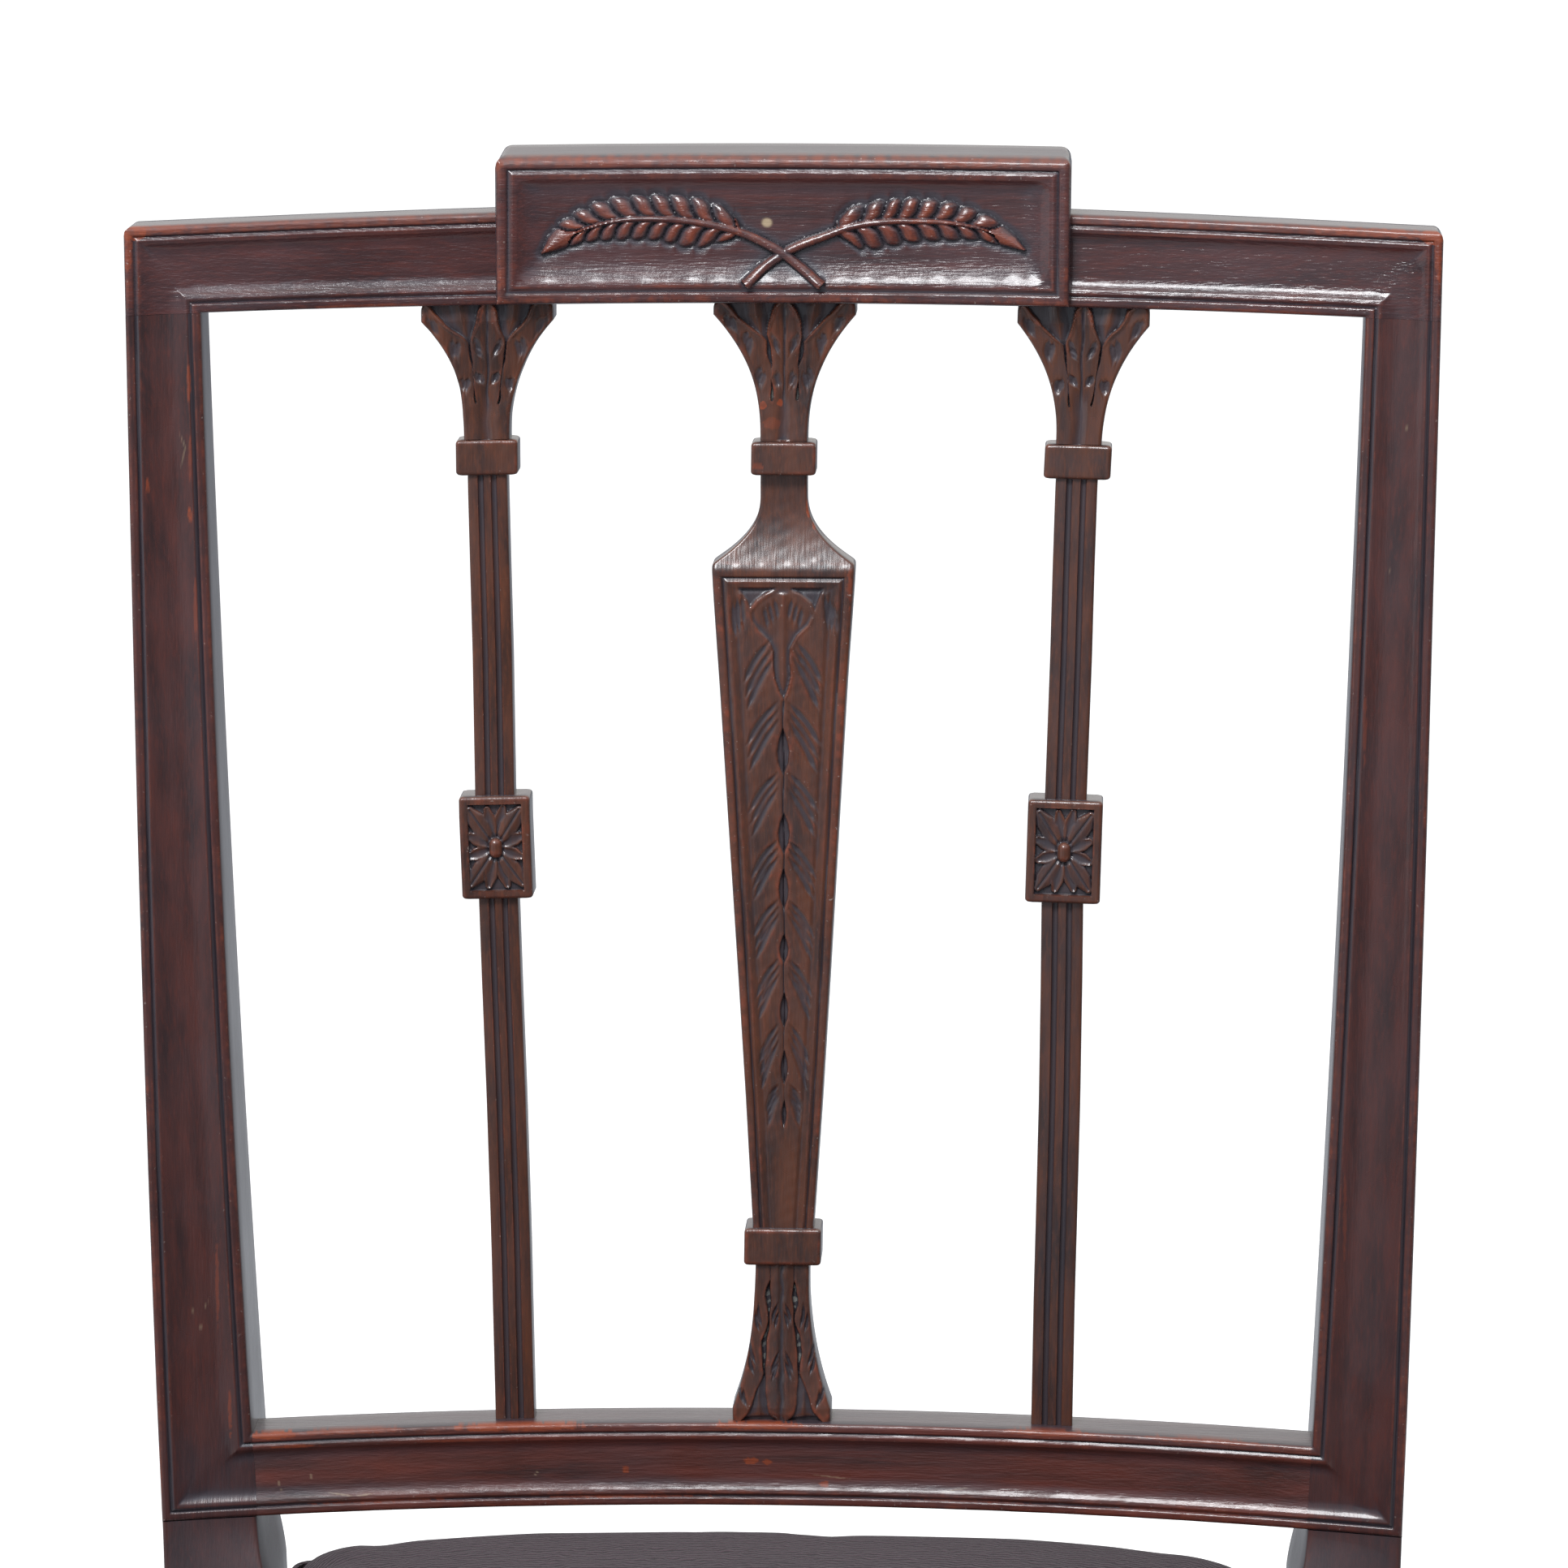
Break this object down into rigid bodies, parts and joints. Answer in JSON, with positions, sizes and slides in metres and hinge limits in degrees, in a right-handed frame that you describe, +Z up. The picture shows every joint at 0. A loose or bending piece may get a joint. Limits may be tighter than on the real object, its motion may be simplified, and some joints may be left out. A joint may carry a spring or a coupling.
{
  "type": "dining chair",
  "caption": "Square-back dining side chair: bowed moulded back, raised crest tablet, slim reeded uprights, tapering carved splat, padded drop-in seat, square tapered legs.",
  "frame": {"origin": "on the floor under the middle of the whole chair", "axes": "+Z up, -Y to the front of the seat, +X to the right of a person who looks at the front of the chair"},
  "size_m": [0.528, 0.5592, 0.955],
  "materials": {
    "mahogany": "dark red-brown varnish, glossy, worn at the edges",
    "beech": "bare planed wood",
    "cover": "fine rippled weave, dark grey-purple, matt",
    "webbing": "woven jute",
    "steel": "dull screw steel"
  },
  "bodies": {
    "frame": {"crest_rail": "mahogany", "stay_rail": "mahogany", "centre_splat": "mahogany", "left_upright": "mahogany", "right_upright": "mahogany", "left_rear_post": "mahogany", "right_rear_post": "mahogany", "rear_seat_rail": "mahogany", "front_seat_rail": "mahogany", "left_seat_rail": "mahogany", "right_seat_rail": "mahogany", "left_front_leg": "mahogany", "right_front_leg": "mahogany", "left_stretcher": "mahogany", "right_stretcher": "mahogany", "medial_stretcher": "mahogany", "rear_stretcher": "mahogany", "left_front_corner_block": "beech", "right_front_corner_block": "beech", "left_rear_corner_block": "beech", "right_rear_corner_block": "beech", "left_front_cross_screw": "steel", "left_front_side_screw": "steel", "right_front_cross_screw": "steel", "right_front_side_screw": "steel", "left_rear_cross_screw": "steel", "left_rear_side_screw": "steel", "right_rear_cross_screw": "steel", "right_rear_side_screw": "steel"},
    "seat": {"left_slip_rail": "beech", "right_slip_rail": "beech", "front_slip_rail": "beech", "rear_slip_rail": "beech", "long_web_1": "webbing", "long_web_2": "webbing", "long_web_3": "webbing", "cross_web_1": "webbing", "cross_web_2": "webbing", "cross_web_3": "webbing", "seat_pad": "cover"}
  },
  "joints": [
    {"name": "seat_tip", "type": "hinge", "parent": "frame", "child": "seat", "pos_m": [0, 0.16236, 0.422], "axis": [-1, 0, 0], "range_deg": [0, 12]}
  ]
}
